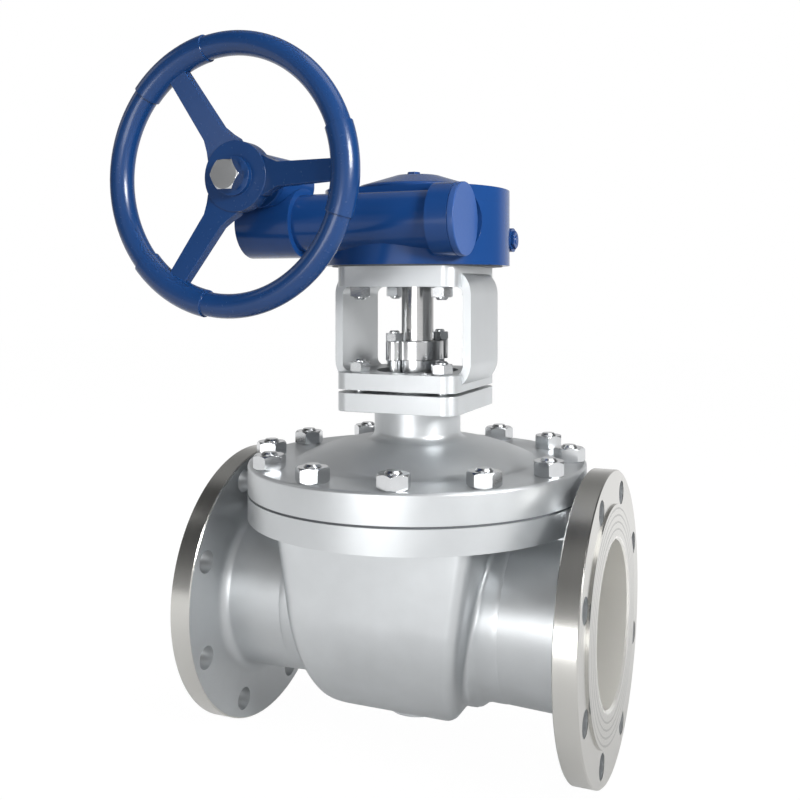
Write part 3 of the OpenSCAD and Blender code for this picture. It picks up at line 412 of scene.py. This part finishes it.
def body_finish(look, end_x, flange_r):
    """The body casting, with turned bores, rims and faces, and grooves on the raised faces.

    The bore is coloured lighter than the other turned faces, as painted light, and the grooves darker, as
    painted shade.
    """
    finish = Finish("body_casting")
    x, y, z = finish.axes(finish.place)
    reach = abs(x)
    radius = (y * y + z * z).root()
    face = reach > end_x - FACE_DEPTH
    rim = (radius > flange_r - RIM_DEPTH) * (reach > end_x - FLANGE_DEPTH - RIM_PAST_BACK)
    bore = radius < BORE_R + BORE_DEPTH
    turned = face.larger(rim).larger(bore)
    sealing = face * (radius > GROOVES_FROM) * (radius < GROOVES_TO)
    groove = ((radius * (2 * math.pi / GROOVE_PITCH)).sine() > GROOVE_CREST) * sealing
    cast, cloud, grain = casting_layers(finish, look.colour)
    rings = finish.node("ShaderNodeCombineXYZ", X=radius, Y=reach)
    lathe = finish.noise(1400, detail=2, at=rings.outputs[0])
    swirl = finish.noise(9, detail=2)
    bright = finish.tint(lathe * 0.5 + swirl * 0.5, look.machined, 0.92, 1.05)
    # Painted light: the bore gets a lighter copy of the machined colour, standing in for light inside it
    machined = finish.blend(bore, bright, shade(look.machined, 1.35))
    # Painted shade: the grooves are coloured darker, for the shade that falls in them
    shaded_grooves = finish.blend(groove * 0.45, machined, shade(look.machined, 0.25))
    finish.set("Base Color", finish.blend(turned, cast, shaded_grooves))
    finish.set("Metallic", turned * 0.18 + 0.8 - bore * 0.55)
    rough_cast = cloud * 0.12 + (look.roughness - 0.06)
    rough_turned = lathe * 0.08 + 0.17
    finish.set("Roughness", rough_cast * (1 - turned) + rough_turned * turned)
    relief = grain * (1 - turned) * 0.5 + lathe * turned * 0.02 - groove * 3.0
    finish.bump(relief, distance=0.00016, strength=0.6)
    return finish.material


def steel_finish(name, colour, rough):
    """Bright steel with a faint grain and a few darker patches."""
    finish = Finish(name, Metallic=1.0)
    patch = finish.noise(45, detail=3)
    grain = finish.noise(700, detail=2)
    finish.set("Base Color", finish.tint(patch, colour, 0.78, 1.12))
    finish.set("Roughness", grain * 0.1 + patch * 0.08 + (rough - 0.09))
    finish.bump(grain, distance=0.00004, strength=0.5)
    return finish.material


def turned_finish(name, colour, rough):
    """Turned and polished round stem: fine rings along the upright."""
    finish = Finish(name, Metallic=1.0)
    rings = finish.noise(5, detail=2, stretch=(1, 1, 260))
    finish.set("Base Color", finish.tint(rings, colour, 0.8, 1.1))
    finish.set("Roughness", rings * 0.12 + (rough - 0.06))
    finish.bump(rings, distance=0.00003, strength=0.4)
    return finish.material


def paint_finish(name, colour, rough, coat, peel, shine):
    """Gloss paint on a casting: slight change of tone, orange peel and a clear top."""
    finish = Finish(name, Coat_Roughness=0.08, Coat_Weight=coat, Specular_IOR_Level=shine)
    tone = finish.noise(12, detail=3)
    skin = finish.noise(260, detail=2)
    cast = finish.noise(45, detail=3)
    finish.set("Base Color", finish.tint(tone, colour, 0.86, 1.12))
    finish.set("Roughness", skin * 0.08 + (rough - 0.04))
    finish.bump(skin * 0.4 + cast * 0.6, distance=0.0002, strength=peel)
    return finish.material


def soft_finish(name, colour, rough):
    """Plastic, rubber or graphite: a fine matt grain."""
    finish = Finish(name)
    grain = finish.noise(500, detail=3)
    finish.set("Base Color", finish.tint(grain, colour, 0.8, 1.15))
    finish.set("Roughness", grain * 0.15 + (rough - 0.07))
    finish.bump(grain, distance=0.00005, strength=0.5)
    return finish.material


# Shapes


def grid_mesh(name, points, closed_u=False, closed_v=False):
    """A mesh from a grid of points, point [i, j] being the surface at parameters u and v."""
    rows, cols = points.shape[:2]
    index = np.arange(rows * cols).reshape(rows, cols)
    if closed_u:
        index = np.vstack([index, index[:1]])
    if closed_v:
        index = np.hstack([index, index[:, :1]])
    quads = np.stack([index[:-1, :-1], index[1:, :-1], index[1:, 1:], index[:-1, 1:]], -1).reshape(-1, 4)
    mesh = bpy.data.meshes.new(name)
    mesh.from_pydata(points.reshape(-1, 3).tolist(), [], quads.tolist())
    mesh.shade_smooth()
    return mesh


def add_piece(name, mesh, body, material):
    """Puts a mesh in the scene as a piece that rides on a body."""
    piece = bpy.data.objects.new(name, mesh)
    bpy.context.scene.collection.objects.link(piece)
    mesh.materials.clear()
    mesh.materials.append(material)
    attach(piece, body)
    return piece


def body_of(node):
    """The body that a node belongs to."""
    bodies = frame["record"]["behaviour"]["bodies"]
    return next(body for body, members in bodies.items() if node in members)


def rounded(node, width, material, segments=2):
    """A copy of a node with its doubles merged and its sharp edges rounded, which stands for it."""
    mesh = frame["nodes"][node].data.copy()
    work = bmesh.new()
    work.from_mesh(mesh)
    bmesh.ops.remove_doubles(work, verts=work.verts, dist=ONE_POINT)
    bmesh.ops.dissolve_limit(
        work, angle_limit=FLAT_TURN, verts=work.verts, edges=work.edges, delimit={"NORMAL"})
    work.to_mesh(mesh)
    work.free()
    mesh.shade_smooth()
    piece = add_piece(f"{node}_rounded", mesh, body_of(node), material)
    bevel = piece.modifiers.new("edges", "BEVEL")
    bevel.width = width
    bevel.segments = segments
    bevel.limit_method = "ANGLE"
    bevel.angle_limit = SHARP_TURN
    normals = piece.modifiers.new("normals", "WEIGHTED_NORMAL")
    normals.keep_sharp = True
    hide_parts(node)


def paint_nodes(nodes, material):
    """Gives nodes of the frame a finish."""
    for node in nodes:
        target = frame["nodes"][node]
        target.data.materials.clear()
        target.data.materials.append(material)


def bucket_side(z):
    """Half the width of the bucket at a height: it leans out with height and rounds in at the bottom.

    The edge is the path of a ball round the bottom. The width at the ball's middle is that of the
    height where it touches the bottom, further down by its radius times the sine of the angle. Below
    the foot the edge to the flat underside is a quarter circle."""
    held = np.maximum(z, BUCKET_FOOT_Z)
    sine = np.clip((BUCKET_AXIS_Z - held) / (BUCKET_R - BUCKET_EDGE), 0, BUCKET_FOOT_SINE)
    low = held - BUCKET_EDGE * sine
    drop = np.clip(SIDE_ROUND_Z - low, 0, SIDE_ROUND_R)
    half = BUCKET_HALF + BUCKET_LEAN * low - (SIDE_ROUND_R - np.sqrt(SIDE_ROUND_R ** 2 - drop ** 2))
    under = np.clip(BUCKET_FOOT_Z - z, 0, BUCKET_EDGE - BUCKET_EDGE_STOP)
    return half - BUCKET_EDGE + np.sqrt(BUCKET_EDGE ** 2 - under ** 2)


def neck_radius(x):
    """Radius of a neck at a distance from the stem axis: seat housing, soft cone, then a slow taper."""
    step = np.clip((x - SEAT_HOUSING_X) / (NECK_X - SEAT_HOUSING_X), 0, 1)
    soft = step * step * (3 - 2 * step)
    return SEAT_HOUSING_R + (NECK_R - SEAT_HOUSING_R) * soft + np.clip(x - NECK_X, 0, 1) * NECK_TAPER


def bucket_outline(turn):
    """Distance from the pipe axis to the bucket's outside in the direction turn.

    Turn runs from 0 at the front to a quarter turn at the top. Front and rear are flat, the bottom is
    round about a raised axis with a flat underside, and the flange lies above."""
    side, up = np.cos(turn), np.sin(turn)
    wall = BUCKET_R / np.maximum(np.abs(side), LEAST_DIVISOR)
    bowl = BUCKET_AXIS_Z * up + np.sqrt(BUCKET_R ** 2 - (BUCKET_AXIS_Z * side) ** 2)
    floor = BUCKET_FLOOR / np.maximum(-up, LEAST_DIVISOR)
    roof = BUCKET_ROOF / np.maximum(up, LEAST_DIVISOR)
    return np.minimum(np.where(wall * up > BUCKET_AXIS_Z, wall, bowl), np.minimum(floor, roof))


def span(count, end=1.0):
    """A row of count steps up to end, without 0, where the stretch before it ends."""
    return np.linspace(0, end, count + 1)[None, 1:]


def skin_section(look, turn, inset):
    """Half of each section of the skin, as distances along and from the pipe axis.

    It rises out of the neck at its end and runs along it, then up a fillet on to the leaning side,
    out to the edge, round it and over to the middle. Inset moves it inward."""
    up = np.sin(turn)
    proud = look.skin - inset
    top = bucket_outline(turn) + proud
    root_x = bucket_side(up * SKIN_ROOT_R) + look.neck_blend
    root = neck_radius(root_x) + proud
    room = np.clip(top - root, SIDE_LEAST, None)
    blend = np.minimum(look.neck_blend, room * FILLET_SHARE)
    edge = np.minimum(BUCKET_EDGE, np.maximum(room - blend, EDGE_LEAST) * EDGE_SHARE)
    foot = bucket_side(up * root) + blend + proud
    along = np.linspace(0, 1, NECK_POINTS)[None, :]
    neck_x = SKIN_END_X + (foot - SKIN_END_X) * along
    neck_r = neck_radius(neck_x) + proud - SKIN_END_DIP * (1 - along) ** SKIN_END_BEND
    neck_r = neck_r + (root - neck_radius(foot) - proud) * along ** SKIN_ROOT_BEND
    rise = span(FILLET_POINTS, np.pi / 2)
    fillet_r = root + blend * (1 - np.cos(rise))
    fillet_x = bucket_side(up * fillet_r) + blend * (1 - np.sin(rise)) + proud
    side_r = root + blend + (top - edge - root - blend) * span(SIDE_POINTS)
    side_x = bucket_side(up * side_r) + proud
    bend = span(EDGE_POINTS, np.pi / 2)
    edge_r = top - edge + edge * np.sin(bend)
    edge_x = bucket_side(up * (top - edge)) - edge * (1 - np.cos(bend)) + proud
    over_x = edge_x[:, -1:] * (1 - span(OVER_POINTS))
    over_r = top + 0 * over_x
    return (np.hstack([neck_x, fillet_x, side_x, edge_x, over_x]),
            np.hstack([neck_r, fillet_r, side_r, edge_r, over_r]))


def body_skin(look, round_count=288):
    """Cast skin over the bucket and the roots of the necks.

    Each section through the pipe axis is mirrored about the stem axis and turned about the pipe
    axis, its outer end following the bucket's outline. A second wall just inside closes it."""
    turn = np.linspace(0, 2 * np.pi, round_count, endpoint=False)[:, None]
    x, r = skin_section(look, turn, 0.0)
    x_in, r_in = skin_section(look, turn, SKIN_DEPTH)
    x = np.hstack([x, -x[:, -2::-1], -x_in, x_in[:, -2::-1]])
    r = np.hstack([r, r[:, -2::-1], r_in, r_in[:, -2::-1]])
    points = np.stack([x, -r * np.cos(turn), r * np.sin(turn)], -1)
    return grid_mesh("body_skin", points, closed_u=True, closed_v=True)


# Operators


class VALVE_OT_body(bpy.types.Operator):
    """Finish the cast body and its turned flanges"""

    bl_idname = "valve.body"
    bl_label = "Body"

    def execute(self, context):
        look = context.scene.ball_valve_casting
        low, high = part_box("valve_body")
        finish = body_finish(look, end_x=high.x, flange_r=-low.z)
        paint_nodes(["valve_body"], finish)
        add_piece("body_skin", body_skin(look), "valve", finish)
        return {"FINISHED"}


class VALVE_OT_bonnet(bpy.types.Operator):
    """Finish the bonnet, the bracket and their gaskets"""

    bl_idname = "valve.bonnet"
    bl_label = "Bonnet"

    def execute(self, context):
        look = context.scene.ball_valve_casting
        rounded("bonnet", CASTING_EDGE, casting_finish(look, "bonnet_casting"))
        rounded("bracket", BRACKET_EDGE, casting_finish(look, "bracket_casting", tone=0.97))
        dark = soft_finish("graphite_sheet", linear(96, 99, 103), rough=0.6)
        paint_nodes(["bonnet_gasket", "base_gasket"], dark)
        return {"FINISHED"}


class VALVE_OT_steel(bpy.types.Operator):
    """Finish the fasteners, the stem and the parts inside"""

    bl_idname = "valve.steel"
    bl_label = "Steel parts"

    def execute(self, context):
        bright = steel_finish("bright_fasteners", linear(214, 216, 218), rough=0.2)
        for node in ("bonnet_nuts", "bracket_lower_nuts", "bracket_upper_nuts", "gland_nuts",
                     "handwheel_nut"):
            rounded(node, NUT_EDGE, bright)
        paint_nodes(["bonnet_studs", "bracket_lower_studs", "bracket_upper_studs", "gland_studs",
                     "handwheel_washer", "cover_screws", "seat_springs", "gland_bush"], bright)
        polished = turned_finish("polished_stem", linear(200, 200, 200), rough=0.16)
        paint_nodes(["stem", "input_shaft", "ball"], polished)
        gland = steel_finish("gland_steel", linear(190, 191, 192), rough=0.2)
        rounded("gland_flange", CASTING_EDGE, gland)
        gears = steel_finish("cut_gears", linear(150, 150, 152), rough=0.3)
        paint_nodes(["sector_gear", "sector_key", "worm_shaft", "worm_bearings", "worm_input_gear",
                     "input_gear", "worm_gear_key", "input_gear_key", "wheel_key"], gears)
        bronze = steel_finish("turned_bronze", linear(190, 150, 84), rough=0.3)
        paint_nodes(["lower_bush", "upper_bush", "case_bush", "input_bushes"], bronze)
        seats = soft_finish("seat_plastic", linear(232, 228, 216), rough=0.45)
        paint_nodes(["seat_ring_left", "seat_ring_right", "stem_washer", "packing_rings"], seats)
        paint_nodes(["seat_o_rings"], soft_finish("black_rubber", linear(34, 34, 34), rough=0.6))
        return {"FINISHED"}


class VALVE_OT_gearbox(bpy.types.Operator):
    """Finish the gearbox castings and what is painted with them"""

    bl_idname = "valve.gearbox"
    bl_label = "Gearbox"

    def execute(self, context):
        look = context.scene.ball_valve_paint
        blue = paint_finish("gearbox_blue", look.gearbox, rough=0.2, coat=0.12, peel=0.15, shine=0.22)
        for node in ("gearbox_housing", "gearbox_cover", "input_gear_case"):
            rounded(node, CASTING_EDGE, blue)
        for node in ("gearbox_cap", "breather_plug", "stop_screws", "stop_nuts", "input_seal_plate"):
            rounded(node, SMALL_EDGE, blue)
        # Painted light: the end cap gets a lighter blue than the gearbox, for the right lamp's light on it
        pale = paint_finish("end_cap_blue", look.end_cap, rough=0.35, coat=0.05, peel=0.15, shine=0.2)
        rounded("worm_end_cap", END_CAP_EDGE, pale)
        return {"FINISHED"}


class VALVE_OT_handwheel(bpy.types.Operator):
    """Finish the handwheel"""

    bl_idname = "valve.handwheel"
    bl_label = "Handwheel"

    def execute(self, context):
        look = context.scene.ball_valve_paint
        blue = paint_finish("wheel_blue", look.wheel, rough=0.26, coat=0.12, peel=0.06, shine=0.35)
        rounded("handwheel", WHEEL_EDGE, blue, segments=3)
        return {"FINISHED"}


class VALVE_OT_studio(bpy.types.Operator):
    """Set up the camera, lamps, floor and backdrop"""

    bl_idname = "valve.studio"
    bl_label = "Studio"

    def execute(self, context):
        scene = context.scene
        look = scene.ball_valve_studio
        scene.view_settings.view_transform = "Standard"
        camera = bpy.data.objects.new("camera", bpy.data.cameras.new("camera"))
        scene.collection.objects.link(camera)
        camera.location = CAMERA_PLACE
        camera.rotation_euler = (math.pi / 2, 0, look.yaw)
        camera.data.lens = look.lens
        camera.data.shift_x = CAMERA_SHIFT[0] / PICTURE_SIDE
        camera.data.shift_y = CAMERA_SHIFT[1] / PICTURE_SIDE
        scene.camera = camera
        lowest = min(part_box(node)[0].z for node in frame["nodes"])
        self.floor(scene, lowest - FLOOR_GAP)
        for name, place, aim, sides, spread in LAMPS:
            self.lamp(scene, name, place, aim, sides, spread, getattr(look, name))
        self.world(scene, look, camera)
        return {"FINISHED"}

    def lamp(self, scene, name, place, aim, sides, spread, power):
        data = bpy.data.lights.new(name, "AREA")
        data.shape = "RECTANGLE"
        data.size, data.size_y = sides
        data.energy = power
        data.spread = math.radians(spread)
        lamp = bpy.data.objects.new(name, data)
        scene.collection.objects.link(lamp)
        lamp.location = place
        lamp.rotation_euler = (Vector(aim) - Vector(place)).to_track_quat("-Z", "Y").to_euler()

    def floor(self, scene, height):
        """A pale floor that glows white to the camera, and to mirrored rays away from the valve.

        Near the valve its glow to mirrored rays is dimmed, a painted shadow of the valve.
        """
        mesh = bpy.data.meshes.new("floor")
        half = FLOOR_HALF
        mesh.from_pydata([(-half, -half, height), (half, -half, height), (half, half, height),
                          (-half, half, height)], [], [(0, 1, 2, 3)])
        floor = bpy.data.objects.new("floor", mesh)
        scene.collection.objects.link(floor)
        finish = Finish("pale_floor", Base_Color=(0.86, 0.86, 0.86), Roughness=0.9)
        rays = finish.node("ShaderNodeLightPath")
        seen = Value(finish, rays.outputs["Is Camera Ray"]) * FLOOR_SHARE
        x, y, _ = finish.axes(finish.place)
        # Painted shadow: mirrored rays see the floor's glow dimmer near the valve, for the valve's shadow
        # there
        clear = finish.steps((x * x + y * y).root(), FLOOR_PAINTED_SHADOW)
        mirrored = Value(finish, rays.outputs["Is Glossy Ray"]) * clear
        glow = finish.node("ShaderNodeEmission", Color=(1, 1, 1), Strength=FLOOR_GLOW)
        seen_floor = finish.mix_shaders(seen.larger(mirrored), finish.shader.outputs[0], glow.outputs[0])
        finish.tree.links.new(seen_floor, finish.tree.nodes["Material Output"].inputs["Surface"])
        mesh.materials.append(finish.material)

    def world(self, scene, look, camera):
        """An even room light. Metal sees a bright front, dim sides, a pale rear and a dim ceiling.

        Around runs from the rear, 0, to the camera's side, 1, and upward from straight down, 0, to
        straight up, 1."""
        scene.world = bpy.data.worlds.new("studio")
        scene.world.use_nodes = True
        net = Net(scene.world.node_tree)
        x, y, z = net.axes(net.node("ShaderNodeTexCoord").outputs["Generated"])
        toward = camera.location.xy.normalized()
        facing = (x * toward.x + y * toward.y) / ((x * x + y * y).root() + 0.001)
        around = net.steps(facing * 0.5 + 0.5, ROOM_AROUND)
        upward = net.steps(z * 0.5 + 0.5, ROOM_UPWARD)
        rays = net.node("ShaderNodeLightPath")
        dark, room, white = [
            net.node("ShaderNodeBackground", Color=(1, 1, 1), Strength=strength).outputs[0]
            for strength in (0.0, look.world, 1.0)]
        mirrored = net.mix_shaders(around * upward, dark, white)
        lit = net.mix_shaders(Value(net, rays.outputs["Is Glossy Ray"]), room, mirrored)
        whole = net.mix_shaders(Value(net, rays.outputs["Is Camera Ray"]), lit, white)
        net.tree.links.new(whole, net.tree.nodes["World Output"].inputs["Surface"])


class VALVE_PT_panel(bpy.types.Panel):
    """Buttons for each group of parts"""

    bl_idname = "VALVE_PT_panel"
    bl_label = "Ball Valve"
    bl_space_type = "VIEW_3D"
    bl_region_type = "UI"
    bl_category = "Ball Valve"

    def draw(self, context):
        for step in STEPS:
            self.layout.operator(step.bl_idname)
        for group in GROUPS:
            owner = getattr(context.scene, group)
            for name in owner.__annotations__:
                self.layout.prop(owner, name)


STEPS = (VALVE_OT_body, VALVE_OT_bonnet, VALVE_OT_steel, VALVE_OT_gearbox, VALVE_OT_handwheel,
         VALVE_OT_studio)
GROUPS = {"ball_valve_casting": CastingSettings, "ball_valve_paint": PaintSettings,
          "ball_valve_studio": StudioSettings}


def register():
    for kind in (*GROUPS.values(), *STEPS, VALVE_PT_panel):
        bpy.utils.register_class(kind)
    for name, kind in GROUPS.items():
        setattr(bpy.types.Scene, name, bpy.props.PointerProperty(type=kind))


def unregister():
    for name in GROUPS:
        delattr(bpy.types.Scene, name)
    for kind in (VALVE_PT_panel, *reversed(STEPS), *GROUPS.values()):
        bpy.utils.unregister_class(kind)


def main():
    register()
    for step in STEPS:
        group, name = step.bl_idname.split(".")
        getattr(getattr(bpy.ops, group), name)()


if __name__ == "__main__":
    main()
